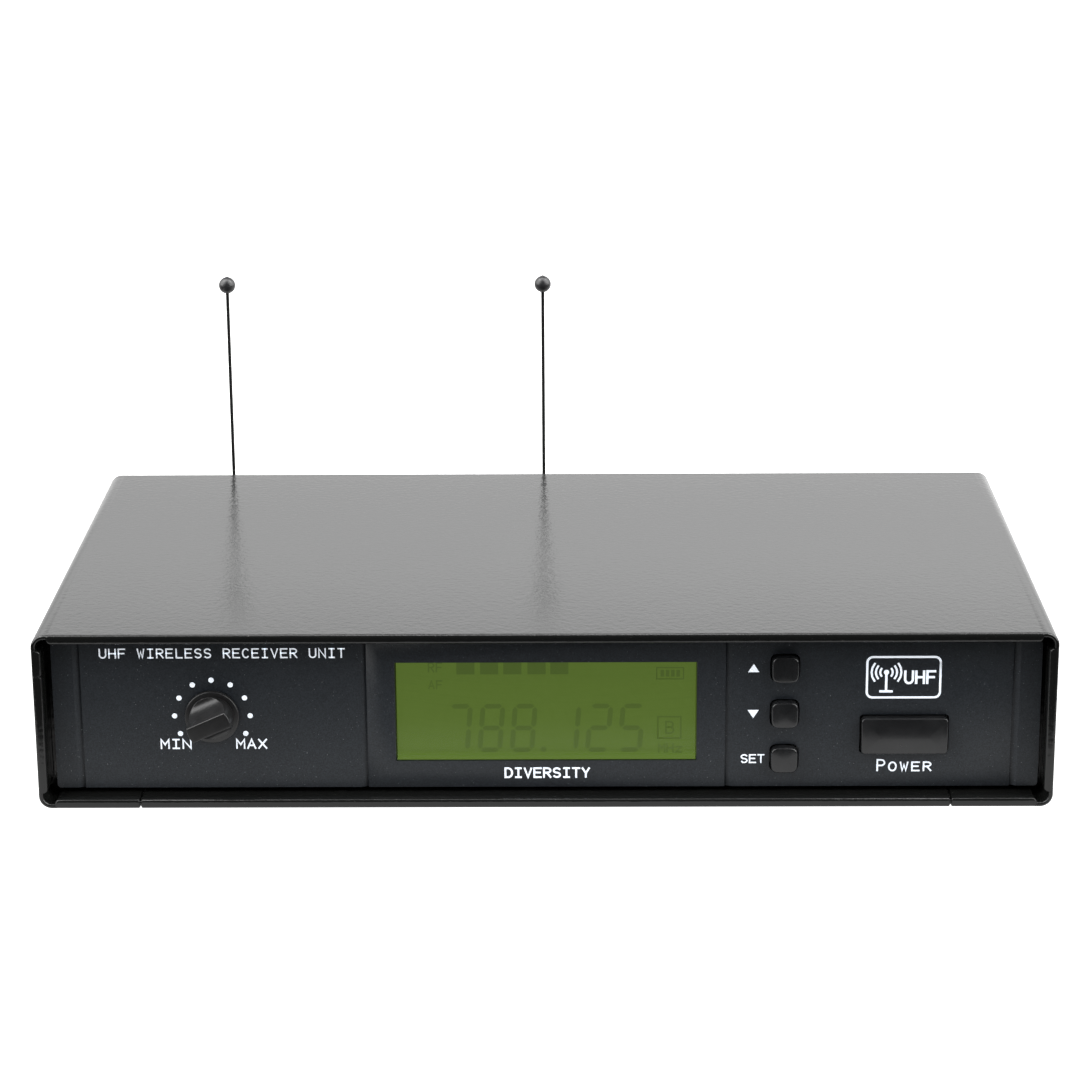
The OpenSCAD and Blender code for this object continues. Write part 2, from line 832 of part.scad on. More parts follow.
module squelch_pot() color("#4c5a6a")
    difference() {
        union() {
            bar(squelch_x, 0, rear_in - 8, rear_in, squelch_r);
            bar(squelch_x, 0, rear_in - eps, rear_out + 3.4, bushing_r);
        }
        bar(squelch_x, 0, rear_in - 5, rear_out + 4, 2 + fit_gap);
    }

module squelch_shaft() color("#d8d8d4")
    difference() {
        bar(squelch_x, 0, rear_in - 4.8, rear_out + 4.2, 2);
        block(squelch_x - 3, rear_out + 3.2, z_mid - 0.4, 6, 2, 0.8);
    }

module antenna_sockets() color("#b9a467")
    for (x = [antenna_a_x, antenna_b_x])
        difference() {
            union() {
                bar(x, 0, socket_in, socket_out, socket_r);
                bar(x, 0, rear_in - 1.5, rear_in, socket_r + 1.6);
            }
            bar(x, 0, socket_out - 8.5, socket_out + 1, socket_bore_r);
        }

module antenna_nuts() color("#b4b6b8")
    for (x = [antenna_a_x, antenna_b_x])
        hex_nut(x, 0, rear_out, 2, antenna_nut_r, socket_r + fit_gap);

// The swivel turns in its socket, and its two ears carry the pivot pin
module antenna_fork(x) color("#232425")
    difference() {
        union() {
            bar(x, 0, socket_out - 8, socket_out + 0.3, socket_bore_r - fit_gap);
            bar(x, 0, socket_out + 0.3 - eps, whip_d_back - ear_r - 0.6, socket_r);
            intersection() {
                bar(x, 0, whip_d_back - ear_r - 0.7, whip_d_back + ear_r, socket_r);
                union() {
                    block(x - hub_w / 2 - ear_t, whip_d_back - ear_r - 0.7, z_mid - ear_r,
                          hub_w + 2 * ear_t, ear_r + 0.7, 2 * ear_r);
                    translate([x, y_front + whip_d_back, z_mid])
                        rotate([0, 90, 0])
                            cylinder(h = hub_w + 2 * ear_t, r = ear_r, center = true);
                }
            }
        }
        block(x - hub_w / 2 - fit_gap, whip_d_back - ear_r, z_mid - 2 * ear_r,
              hub_w + 2 * fit_gap, 4 * ear_r, 4 * ear_r);
        translate([x, y_front + whip_d_back, z_mid])
            rotate([0, 90, 0])
                cylinder(h = 4 * ear_r, r = pivot_r, center = true);
    }

module antenna_pin(x) color("#a9abae")
    translate([x, y_front + whip_d_back, z_mid])
        rotate([0, 90, 0])
            cylinder(h = hub_w + 2 * ear_t, r = pivot_r, center = true);

module antenna_hub(x) color("#232425")
    translate([x, y_front + whip_d_back, z_mid])
        difference() {
            union() {
                rotate([0, 90, 0])
                    cylinder(h = hub_w, r = hub_r, center = true);
                cylinder(h = ferrule_top, r1 = 1.45, r2 = 0.9);
            }
            rotate([0, 90, 0])
                cylinder(h = 2 * hub_w, r = pivot_r + fit_gap, center = true);
            translate([0, 0, hub_r])
                cylinder(h = ferrule_top, r = whip_d / 2 + 0.02);
        }

module antenna_rod(x) color("#1c1c1c")
    translate([x, y_front + whip_d_back, z_mid + hub_r])
        cylinder(h = whip_len - hub_r, r = whip_d / 2, $fn = 24);

module antenna_tip(x) color("#1a1b1d")
    translate([x, y_front + whip_d_back, z_mid + whip_len])
        difference() {
            union() {
                sphere(r = tip_d / 2);
                translate([0, 0, tip_d / 2 - 0.35])
                    cylinder(h = 0.5, r1 = 0.9, r2 = 0.2);
            }
            translate([0, 0, -tip_d])
                cylinder(h = tip_d, r = whip_d / 2 + 0.02);
        }

module antenna_a_fork() antenna_fork(antenna_a_x);
module antenna_a_pin() antenna_pin(antenna_a_x);
module antenna_a_hub() antenna_hub(antenna_a_x);
module antenna_a_rod() antenna_rod(antenna_a_x);
module antenna_a_tip() antenna_tip(antenna_a_x);
module antenna_b_fork() antenna_fork(antenna_b_x);
module antenna_b_pin() antenna_pin(antenna_b_x);
module antenna_b_hub() antenna_hub(antenna_b_x);
module antenna_b_rod() antenna_rod(antenna_b_x);
module antenna_b_tip() antenna_tip(antenna_b_x);

cover();
tray();
front_panel();
front_bracket();
rear_panel();
feet();
case_screws();
display_window();
display_glass();
display_frame();
display_backlight();
front_board();
front_screws();
ribbon_cable();
key_switches();
volume_knob();
volume_shaft();
volume_pot();
pot_nuts();
up_button();
down_button();
set_button();
up_plunger();
down_plunger();
set_plunger();
power_button();
power_plunger();
power_switch();
main_board();
board_standoffs();
board_screws();
tuner_cans();
capacitors();
chips();
regulator();
heat_sink();
antenna_leads();
antenna_sockets();
antenna_nuts();
antenna_a_fork();
antenna_a_pin();
antenna_a_hub();
antenna_a_rod();
antenna_a_tip();
antenna_b_fork();
antenna_b_pin();
antenna_b_hub();
antenna_b_rod();
antenna_b_tip();
xlr_shell();
xlr_screws();
xlr_insert();
xlr_pins();
output_jack();
jack_nut();
dc_inlet();
dc_pin();
squelch_pot();
squelch_shaft();
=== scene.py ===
import json
import math

import bmesh
import bpy
import numpy as np
from mathutils import Matrix, Vector


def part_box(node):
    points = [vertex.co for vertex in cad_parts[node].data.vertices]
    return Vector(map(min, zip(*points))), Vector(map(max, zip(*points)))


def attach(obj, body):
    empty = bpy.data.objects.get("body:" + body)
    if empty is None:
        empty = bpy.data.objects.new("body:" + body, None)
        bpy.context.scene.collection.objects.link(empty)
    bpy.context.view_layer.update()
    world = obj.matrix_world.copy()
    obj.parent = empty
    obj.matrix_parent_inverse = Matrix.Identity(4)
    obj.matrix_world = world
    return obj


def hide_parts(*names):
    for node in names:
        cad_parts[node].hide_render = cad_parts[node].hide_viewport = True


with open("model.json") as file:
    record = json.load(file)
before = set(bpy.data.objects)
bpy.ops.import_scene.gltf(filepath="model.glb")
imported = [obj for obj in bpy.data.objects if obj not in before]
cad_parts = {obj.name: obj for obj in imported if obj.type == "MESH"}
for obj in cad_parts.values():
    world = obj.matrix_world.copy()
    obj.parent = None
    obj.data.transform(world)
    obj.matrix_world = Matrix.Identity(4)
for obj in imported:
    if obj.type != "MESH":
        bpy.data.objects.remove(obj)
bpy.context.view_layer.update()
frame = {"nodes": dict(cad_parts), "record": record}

MM = 0.001
record = frame["record"]
slot_of = {s["node"]: s["material_slot"] for s in record["subparts"]}
body_of = {n: b for b, nodes in record["behaviour"]["bodies"].items() for n in nodes}

# Places and sizes below are in millimetres in the case's own frame: x from the middle, depth
# behind the front lip, and up from the middle of the case's height.
case_lo, case_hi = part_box("cover")
Y_LIP = case_lo.y / MM
Z_MID = (case_lo.z + case_hi.z) / 2 / MM
CASE_W = (case_hi.x - case_lo.x) / MM
CASE_H = (case_hi.z - case_lo.z) / MM
CASE_D = (case_hi.y - case_lo.y) / MM
SHEET = 1.0
BEND = 2.7
HEM_FRONT = 8.0
HEM_REAR = 3.0
HEM_INSET = 3.4
TRAY_STEP = 9.0
SEAM_W = 0.4
TRAY_HALF = (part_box("tray")[1].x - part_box("tray")[0].x) / 2 / MM - TRAY_STEP
FLANGE_X = TRAY_HALF + SEAM_W


def spot(node):
    """A node's low and high corners in the case's own frame, in millimetres."""
    lo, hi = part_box(node)
    shift = Vector((0, Y_LIP, Z_MID))
    return lo / MM - shift, hi / MM - shift


PANEL = spot("front_panel")[0].y
LCD = spot("display_glass")[0].y

# ---- camera, light and floor ----


def look():
    """A camera that stands a little right of the middle and looks down at the front."""
    pitch, yaw, roll = (math.radians(a) for a in (17.26, -0.748, 0.401))
    ahead = Vector((math.sin(yaw) * math.cos(pitch), math.cos(yaw) * math.cos(pitch), -math.sin(pitch)))
    level = Vector((math.cos(yaw), -math.sin(yaw), 0))
    below = ahead.cross(level)
    right = math.cos(roll) * level + math.sin(roll) * below
    down = math.cos(roll) * below - math.sin(roll) * level
    camera = bpy.data.objects.new("camera", bpy.data.cameras.new("camera"))
    bpy.context.scene.collection.objects.link(camera)
    turn = Matrix((right, -down, -ahead)).transposed().to_4x4()
    place = Vector((7.4, Y_LIP - 616.6, Z_MID + CASE_H / 2 + 212.0)) * MM
    camera.matrix_world = Matrix.Translation(place) @ turn
    camera.data.sensor_width = 36
    camera.data.lens = 105.7
    camera.data.clip_start = 0.05
    camera.data.clip_end = 50
    bpy.context.scene.camera = camera


def softbox(name, place, size, radiance):
    """A rectangular lamp that faces the object. Its power is pi times its area and radiance."""
    lamp = bpy.data.lights.new(name, "AREA")
    lamp.shape = "RECTANGLE"
    lamp.size, lamp.size_y = size
    lamp.energy = math.pi * size[0] * size[1] * radiance
    obj = bpy.data.objects.new(name, lamp)
    bpy.context.scene.collection.objects.link(obj)
    away = Vector(place) - Vector((0, 0, 0.03))
    obj.matrix_world = Matrix.Translation(place) @ away.to_track_quat("Z", "Y").to_matrix().to_4x4()


def studio():
    """A white backdrop behind the object, a dark room in front, and lamps on both sides and above.

    The backdrop's light grows with height up to a soft top edge, and grows to the right.
    """
    scene = bpy.context.scene
    scene.view_settings.view_transform = "Standard"
    scene.view_settings.look = "None"
    scene.view_settings.exposure = 0
    scene.world = bpy.data.worlds.new("room")
    scene.world.use_nodes = True
    room = Shading(scene.world.node_tree)
    side, ahead, above = room.axis("X"), room.axis("Y"), room.axis("Z")
    brighter_up = 0.66 + 0.4 * above.step(0.2, 0.36)
    top_edge = 1 - 0.95 * above.step(0.45, 0.62)
    backdrop = ahead.step(-0.05, 0.45) * (brighter_up * top_edge) * (1 + 0.3 * side)
    ceiling = above.step(0.6, 0.95)
    light = 0.04 + 1.8 * backdrop + 0.35 * ceiling
    room.put(room.tree.nodes["Background"].inputs["Strength"], light)
    room.put(room.tree.nodes["Background"].inputs["Color"], (1, 1, 1))
    softbox("softbox_left", (-1.22, -0.25, 0.92), (1.7, 1.95), 5.4)
    softbox("softbox_right", (1.22, -0.25, 0.92), (1.7, 1.95), 5.4)
    softbox("strip_left", (-0.5, 0.05, 1.42), (0.7, 1.2), 5.5)
    softbox("strip_right", (0.5, 0.05, 1.42), (0.7, 1.2), 5.5)


# ---- finishes ----


class Value:
    """A number that varies over a surface. Arithmetic on it adds Math nodes."""

    def __init__(self, shading, socket):
        self.shading = shading
        self.socket = socket

    def math(self, operation, *others):
        inputs = dict(enumerate((self, *others)))
        return self.shading.value("ShaderNodeMath", {"operation": operation}, inputs)

    def __add__(self, other):
        return self.math("ADD", other)

    __radd__ = __add__

    def __mul__(self, other):
        return self.math("MULTIPLY", other)

    __rmul__ = __mul__

    def __sub__(self, other):
        return self.math("SUBTRACT", other)

    def __rsub__(self, other):
        return self.math("MULTIPLY", -1) + other

    def step(self, low, high):
        """0 below low, 1 above high, and a smooth S between them."""
        return self.shading.value(
            "ShaderNodeMapRange",
            {"interpolation_type": "SMOOTHSTEP"},
            {"Value": self, "From Min": low, "From Max": high},
        )


class Shading:
    """Nodes of a material, or of the room's light, over object coordinates."""

    place_output = "Generated"

    def __init__(self, tree):
        self.tree = tree
        self.place = self.add("ShaderNodeTexCoord", {}, {}).outputs[self.place_output]

    def put(self, socket, value):
        if isinstance(value, Value):
            self.tree.links.new(value.socket, socket)
        elif isinstance(value, bpy.types.NodeSocket):
            self.tree.links.new(value, socket)
        elif isinstance(value, tuple) and len(value) == 3 and socket.type == "RGBA":
            socket.default_value = (*value, 1)
        else:
            socket.default_value = value

    def add(self, kind, settings, inputs):
        node = self.tree.nodes.new(kind)
        for key, value in settings.items():
            setattr(node, key, value)
        for key, value in inputs.items():
            self.put(node.inputs[key], value)
        return node

    def value(self, kind, settings, inputs, output=0):
        return Value(self, self.add(kind, settings, inputs).outputs[output])

    def axis(self, name):
        return self.value("ShaderNodeSeparateXYZ", {}, {0: self.place}, name)


class Finish(Shading):
    """A procedural material built on the Principled shader."""

    place_output = "Object"

    def __init__(self, name, **constants):
        self.material = bpy.data.materials.new(name)
        self.material.use_nodes = True
        super().__init__(self.material.node_tree)
        self.shader = self.tree.nodes["Principled BSDF"]
        for key, value in constants.items():
            self.put(self.shader.inputs[key.replace("_", " ").title().replace("Ior", "IOR")], value)

    def noise(self, scale, detail=2.0, roughness=0.5, place=None):
        """Noise about a half, with grains of one over scale metres."""
        inputs = {"Vector": place or self.place, "Scale": scale, "Detail": detail, "Roughness": roughness}
        return self.value("ShaderNodeTexNoise", {}, inputs)

    def stretched(self, scale):
        """Object coordinates stretched by a factor on each axis."""
        node = self.add("ShaderNodeVectorMath", {"operation": "MULTIPLY"}, {0: self.place, 1: scale})
        return node.outputs[0]

    def blend(self, factor, first, second):
        inputs = {0: factor, 6: first, 7: second}
        return self.add("ShaderNodeMix", {"data_type": "RGBA"}, inputs).outputs[2]

    def colour(self, value):
        self.put(self.shader.inputs["Base Color"], value)

    def rough(self, value):
        self.put(self.shader.inputs["Roughness"], value)

    def bump(self, height, distance):
        """Relief of a given depth in metres, where height runs from 0 to 1."""
        inputs = {"Strength": 1.0, "Distance": distance, "Height": height}
        node = self.add("ShaderNodeBump", {}, inputs)
        self.put(self.shader.inputs["Normal"], node.outputs[0])


def case_paint():
    """Semi-gloss black paint with a fine orange-peel texture and a few specks of dust."""
    f = Finish("case_paint", specular_ior_level=0.42)
    peel = f.noise(800, 3, 0.6)
    cloud = f.noise(35, 3, 0.6)
    dust = f.noise(2600, 1).step(0.76, 0.79)
    f.colour(f.blend(dust, (0.0062, 0.0065, 0.0062), (0.07, 0.07, 0.065)))
    f.rough(0.07 + 0.05 * cloud + 0.05 * peel)
    f.bump(peel, 0.00007)
    return f


def panel_grain():
    """Charcoal moulding with a bluish cast, a fine sandy grain and sparse pale specks."""
    f = Finish("panel_grain", roughness=0.5, specular_ior_level=0.4)
    sand = f.noise(3400, 3, 0.8)
    coarse = f.noise(900, 2, 0.5)
    speck = f.noise(3100, 1).step(0.75, 0.78)
    base = f.blend(sand.step(0.35, 0.65), (0.0062, 0.0081, 0.0108), (0.0166, 0.0208, 0.0258))
    f.colour(f.blend(speck * 0.7, base, (0.16, 0.17, 0.18)))
    f.rough(0.36 + 0.14 * coarse)
    f.bump(sand + 0.4 * coarse, 0.00002)
    return f


def plastic(name, colour, rough, grain=3500, depth=0.000008, wear=0.15):
    """Moulded plastic: a base colour that wears a little paler in clouds, with a fine grain."""
    f = Finish(name)
    fine = f.noise(grain, 2, 0.6)
    cloud = f.noise(220, 3, 0.6)
    paler = tuple(c * (1 + wear) + 0.02 * wear for c in colour)
    f.colour(f.blend(cloud.step(0.35, 0.7), colour, paler))
    f.rough(rough - 0.05 + 0.06 * cloud + 0.05 * fine)
    f.bump(fine, depth)
    return f


def metal(name, colour, rough, turned="Y"):
    """Plated or turned metal: fine lines round one axis and cloudy tarnish."""
    f = Finish(name, metallic=1.0)
    scale = tuple(9000.0 if a == turned else 400.0 for a in "XYZ")
    lines = f.noise(1, 2, 0.6, f.stretched(scale))
    cloud = f.noise(300, 3, 0.6)
    darker = tuple(c * 0.72 for c in colour)
    f.colour(f.blend(cloud.step(0.45, 0.75), colour, darker))
    f.rough(rough + 0.12 * lines)
    f.bump(lines, 0.000003)
    return f


def circuit():
    """Green solder mask over tracks: a grid of lighter lines and tinned dots."""
    f = Finish("circuit", roughness=0.35)
    wander = f.noise(160, 1)
    tracks = (f.axis("X") * 2600 + wander * 9).math("SINE").step(0.55, 0.75)
    cross = (f.axis("Z") * 2600 + f.axis("Y") * 2600 + wander * 9).math("SINE").step(0.75, 0.9)
    mask = f.blend(tracks * 0.6 + cross * 0.4, (0.008, 0.075, 0.025), (0.02, 0.17, 0.06))
    dots = f.noise(700, 0).step(0.69, 0.71)
    f.colour(f.blend(dots, mask, (0.5, 0.5, 0.48)))
    f.bump(tracks, 0.00002)
    return f


def crystal(name, upper, lower, high):
    """The display's olive layer, dimly lit from behind.

    Its colour changes near the lower edge and near the upper one, over a faint mottle.
    """
    f = Finish(name, roughness=0.4, specular_ior_level=0.2, emission_strength=0.86)
    z = f.axis("Z") * (1 / MM) - Z_MID
    near_bottom = 1 - z.step(-9.6, -8.9)
    near_top = z.step(5.5, 7.5)
    darker, paler = (tuple(c * factor for c in upper) for factor in (0.97, 1.03))
    middle = f.blend(f.noise(900, 2, 0.6), darker, paler)
    tint = f.blend(near_top, f.blend(near_bottom, middle, lower), high)
    f.colour(tint)
    f.put(f.shader.inputs["Emission Color"], tint)
    return f


def clear_lens():
    """Clear window: see-through, with a coated surface whose faint reflection follows Fresnel's law."""
    f = Finish("clear_lens")
    smear = f.noise(120, 3, 0.6)
    through = f.add("ShaderNodeBsdfTransparent", {}, {"Color": (0.97, 0.99, 0.96, 1)})
    gloss = f.add("ShaderNodeBsdfGlossy", {}, {"Color": (0.14, 0.14, 0.14, 1), "Roughness": 0.03})
    edge = f.value("ShaderNodeFresnel", {}, {"IOR": 1.45})
    inputs = {0: edge + 0.01 * smear, 1: through.outputs[0], 2: gloss.outputs[0]}
    mix = f.add("ShaderNodeMixShader", {}, inputs)
    f.tree.links.new(mix.outputs[0], f.tree.nodes["Material Output"].inputs["Surface"])
    return f


FINISHES = {
    "case_paint": case_paint(),
    "panel_plastic": panel_grain(),
    "foot_rubber": plastic("foot_rubber", (0.018, 0.018, 0.018), 0.75, 2200, 0.00003),
    "black_screw": plastic("black_screw", (0.015, 0.015, 0.016), 0.35, 5000, 0.000006),
    "steel_screw": metal("steel_screw", (0.62, 0.62, 0.62), 0.25),
    "clear_window": clear_lens(),
    "lcd_glass": crystal("lcd_glass", (0.103, 0.158, 0.029), (0.118, 0.183, 0.034), (0.101, 0.155, 0.029)),
    "tin_plate": metal("tin_plate", (0.62, 0.63, 0.64), 0.3, "X"),
    "diffuser": plastic("diffuser", (0.62, 0.66, 0.5), 0.5),
    "circuit_board": circuit(),
    "ribbon": plastic("ribbon", (0.35, 0.36, 0.38), 0.5, 1500, 0.00003),
    "knob_plastic": plastic("knob_plastic", (0.008, 0.008, 0.0082), 0.33, 2500, 0.000002),
    "button_plastic": plastic("button_plastic", (0.0075, 0.0078, 0.0085), 0.2, 4200, 0.00001),
    "plain_aluminium": metal("plain_aluminium", (0.75, 0.75, 0.75), 0.28),
    "plain_steel": metal("plain_steel", (0.6, 0.6, 0.6), 0.25, "X"),
    "pot_body": metal("pot_body", (0.35, 0.4, 0.46), 0.4),
    "plated_nut": metal("plated_nut", (0.68, 0.68, 0.67), 0.22),
    "black_plastic": plastic("black_plastic", (0.012, 0.012, 0.013), 0.35),
    "white_plastic": plastic("white_plastic", (0.7, 0.7, 0.67), 0.4),
    "blue_plastic": plastic("blue_plastic", (0.02, 0.035, 0.13), 0.4),
    "brass_part": metal("brass_part", (0.78, 0.6, 0.3), 0.25),
    "capacitor_sleeve": plastic("capacitor_sleeve", (0.012, 0.03, 0.11), 0.25),
    "chip_resin": plastic("chip_resin", (0.018, 0.018, 0.019), 0.55, 3000, 0.00001),
    "dark_aluminium": plastic("dark_aluminium", (0.03, 0.03, 0.033), 0.35),
    "lead_jacket": plastic("lead_jacket", (0.015, 0.015, 0.015), 0.5),
    "dark_zinc": plastic("dark_zinc", (0.03, 0.03, 0.031), 0.38, 1800, 0.00002),
    "gold_contact": metal("gold_contact", (0.9, 0.72, 0.35), 0.2),
    "black_wire": plastic("black_wire", (0.007, 0.007, 0.007), 0.22),
}
# White legend ink that also glows faintly in a cool white: painted light that brightens the print beyond
# what the lamps give it.
INK_PAINTED_GLOW = plastic("legend_ink", (0.82, 0.88, 0.96), 0.55, 6000, 0.000006, 0.04)
INK_PAINTED_GLOW.put(INK_PAINTED_GLOW.shader.inputs["Emission Color"], (0.9, 0.95, 1.0))
INK_PAINTED_GLOW.put(INK_PAINTED_GLOW.shader.inputs["Emission Strength"], 0.35)
POWER_KEY = plastic("power_key_plastic", (0.008, 0.0083, 0.009), 0.25, 4200, 0.00001)
SEGMENT = crystal("crystal_segment", (0.079, 0.122, 0.024), (0.082, 0.127, 0.025), (0.074, 0.114, 0.024))

for node, obj in frame["nodes"].items():
    obj.data.materials.clear()
    obj.data.materials.append(FINISHES[slot_of[node]].material)

# ---- surfaces ----


def lattice(count_u, count_v, wrap_u=False, wrap_v=False):
    """Corners of the four-sided faces between neighbours on a grid whose points run along v first."""
    u = np.arange(count_u if wrap_u else count_u - 1)
    v = np.arange(count_v if wrap_v else count_v - 1)
    u, v = (a.ravel() for a in np.meshgrid(u, v, indexing="ij"))
    next_v = (v + 1) % count_v
    row, next_row = u * count_v, (u + 1) % count_u * count_v
    return np.stack([row + v, next_row + v, next_row + next_v, row + next_v], 1)


def tube(points):
    """A closed solid from rings: points[i, j] is point j of ring i, and both end rings are filled."""
    rings, around = points.shape[:2]
    faces = lattice(rings, around, wrap_v=True).tolist()
    faces.append(list(range(around)))
    faces.append(list(range((rings - 1) * around, rings * around)))
    return points.reshape(-1, 3), faces


def to_row(points):
    """Millimetres in the case's own frame to metres in the shared frame."""
    return (np.asarray(points, float) + (0, Y_LIP, Z_MID)) * MM


def finished(obj, body, hides, sharp=38):
    obj.data.shade_smooth()
    obj.data.set_sharp_from_angle(angle=math.radians(sharp))
    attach(obj, body)
    if hides:
        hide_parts(*hides)
    return obj


def piece(name, solids, slot, body="case", hides=(), finish=None, sharp=38):
    """One object from closed solids of (points in millimetres, faces)."""
    points, faces, start = [], [], 0
    for solid_points, solid_faces in solids:
        points.append(solid_points)
        faces += [[i + start for i in face] for face in solid_faces]
        start += len(solid_points)
    mesh = bpy.data.meshes.new(name)
    mesh.from_pydata(to_row(np.concatenate(points)).tolist(), [], faces)
    form = bmesh.new()
    form.from_mesh(mesh)
    bmesh.ops.remove_doubles(form, verts=form.verts, dist=1e-7)
    bmesh.ops.recalc_face_normals(form, faces=form.faces)
    form.to_mesh(mesh)
    form.free()
    mesh.materials.append((finish or FINISHES[slot]).material)
    obj = bpy.data.objects.new(name, mesh)
    bpy.context.scene.collection.objects.link(obj)
    return finished(obj, body, hides, sharp)


def rounding(obj, width):
    bevel = obj.modifiers.new("rounding", "BEVEL")
    bevel.width = width * MM
    bevel.segments = 2
    bevel.limit_method = "ANGLE"
    bevel.angle_limit = math.radians(38)


def softened(node, width, change=None):
    """A CAD node's own shape with its edges rounded, to stand for the node."""
    mesh = frame["nodes"][node].data.copy()
    form = bmesh.new()
    form.from_mesh(mesh)
    bmesh.ops.remove_doubles(form, verts=form.verts, dist=1e-6)
    bmesh.ops.dissolve_limit(form, angle_limit=math.radians(1), verts=form.verts, edges=form.edges)
    form.to_mesh(mesh)
    form.free()
    if change:
        co = np.empty(len(mesh.vertices) * 3)
        mesh.vertices.foreach_get("co", co)
        mesh.vertices.foreach_set("co", change(co.reshape(-1, 3)).ravel())
    obj = bpy.data.objects.new("soft_" + node, mesh)
    bpy.context.scene.collection.objects.link(obj)
    rounding(obj, width)
    return finished(obj, body_of[node], (node,))


# ---- case ----

BARE_NOSE = 0.55
NOSE = 0.8
RUN = {"corner": 0.7, "nick": 0.35, "seam": 0.4}
BARE_SETBACK = 0.42
NICK_DROP = 9.0
NICK_GAP = 0.02
SEAM_GAP = 0.01
LEAST_SIZE = 0.55


def bent_path():
    """The cover's outline seen from the front, as points, outward directions and bare-edge weights.

    It runs from the left bottom flange round the left side, the top and the right side. Each
    bend is a quarter circle. The weight is 1 where the edge has no hem, from a bend to where the
    hem starts, and 0 elsewhere. A cut is a distance from the bend and the weight there.
    """
    half_w, half_h = CASE_W / 2, CASE_H / 2
    inner_w, inner_h = half_w - BEND, half_h - BEND
    bare = HEM_INSET - BEND
    cuts = ((0.04, 1), (bare - 0.1, 1), (bare + 0.3, 0))
    points, outward, weight = [], [], []

    def flat(start, end, normal, first, last):
        start, end = np.array(start, float), np.array(end, float)
        step = (end - start) / np.linalg.norm(end - start)
        for away, w in first:
            points.append(start + step * away)
            weight.append(w)
            outward.append(np.array(normal, float))
        for away, w in reversed(last):
            points.append(end - step * away)
            weight.append(w)
            outward.append(np.array(normal, float))

    def bend(cx, cz, a0, a1):
        for a in np.radians(np.linspace(a0, a1, 13)):
            direction = np.array([math.cos(a), math.sin(a)])
            points.append(np.array([cx, cz]) + BEND * direction)
            outward.append(direction)
            weight.append(1)

    flat((-FLANGE_X, -half_h), (-inner_w, -half_h), (0, -1), ((0, 0),), cuts)
    bend(-inner_w, -inner_h, 270, 180)
    flat((-half_w, -inner_h), (-half_w, inner_h), (-1, 0), cuts, cuts)
    bend(-inner_w, inner_h, 180, 90)
    flat((-inner_w, half_h), (inner_w, half_h), (0, 1), cuts, cuts)
    bend(inner_w, inner_h, 90, 0)
    flat((half_w, inner_h), (half_w, -inner_h), (1, 0), cuts, cuts)
    bend(inner_w, -inner_h, 0, -90)
    flat((inner_w, -half_h), (FLANGE_X, -half_h), (0, -1), cuts, ((0, 0),))
    return np.array(points), np.array(outward), np.array(weight, float)


def sheet_ring(path, outward, front, rear):
    """A bent sheet: at each point of the path, a flat strip from depth front to depth rear.

    The strip's cross-section ends in half an ellipse at the front and at the rear. It is as
    thick as the sheet and 0.55 mm deep.
    """
    turn = np.linspace(0, math.pi, 13)
    nose = BARE_NOSE * (1 - np.sin(turn))
    rise = SHEET / 2 * (1 - np.cos(turn))
    depth = np.concatenate([front[:, None] + nose, rear[:, None] - nose[::-1]], 1)
    across = np.concatenate([rise, rise[::-1]])
    x = path[:, 0, None] - outward[:, 0, None] * across
    z = path[:, 1, None] - outward[:, 1, None] * across
    return tube(np.stack([x, depth, z], 2))


def hem(start, end, outward, reach, rear=False, ends=("corner", "corner")):
    """A folded edge along a straight line from start to end.

    Across the sheet its nose is half of |x|^3 + |y|^3 = 1, as thick as both layers and
    0.8 mm deep, followed by the folded-back layer. At a corner's cut-out the inner layer ends
    in a quarter ellipse 0.7 mm long, and the outer layer runs on. A nick is the same but
    shorter. At a seam both layers shrink round their middle over 0.4 mm.
    """
    turn = np.linspace(0, math.pi, 29)
    level, deep = np.cos(turn), np.sin(turn).clip(0, 1)
    nose_depth = NOSE - NOSE * deep ** (2 / 3)
    nose_across = SHEET - SHEET * np.sign(level) * np.abs(level) ** (2 / 3)
    depth = np.concatenate([nose_depth, [reach - 0.1, reach, reach, reach - 0.1, SHEET]])
    across = np.concatenate([nose_across, np.array([2, 1.9, 1.1, 1, 1]) * SHEET])
    start, end, outward = (np.array(v, float) for v in (start, end, outward))
    length = np.linalg.norm(end - start)
    ease = np.linspace(0, math.pi / 2, 9)
    run = [RUN[kind] * (1 - np.cos(ease)) for kind in ends]
    along = np.concatenate([run[0], length - run[1][::-1]]) / length
    full = np.ones(len(ease))
    inner, size = [], []
    for kind, growth in zip(ends, (np.sin(ease), np.cos(ease))):
        inner.append(full if kind == "seam" else 0.5 + 0.5 * growth)
        size.append(growth if kind == "seam" else full)
    inner = np.concatenate(inner)[:, None]
    size = np.maximum(np.concatenate(size), LEAST_SIZE)[:, None]
    a = SHEET + (across * inner - SHEET) * size
    d = np.where(depth < NOSE, NOSE + (depth - NOSE) * size, depth)
    base = start + (end - start) * along[:, None]
    if rear:
        d = CASE_D - d
    x = base[:, 0, None] - outward[0] * a
    z = base[:, 1, None] - outward[1] * a
    return tube(np.stack([x, d, z], 2))


def slab(lo, hi):
    """A box between two corners, as a tube of two rings."""
    ring = np.array([[0, 0], [1, 0], [1, 1], [0, 1]], float)
    low, high = np.array(lo, float), np.array(hi, float)
    points = np.zeros((2, 4, 3))
    points[:, :, 0] = low[0] + (high[0] - low[0]) * np.array([0, 1])[:, None]
    points[:, :, 1] = low[1] + (high[1] - low[1]) * ring[None, :, 0]
    points[:, :, 2] = low[2] + (high[2] - low[2]) * ring[None, :, 1]
    return tube(points)


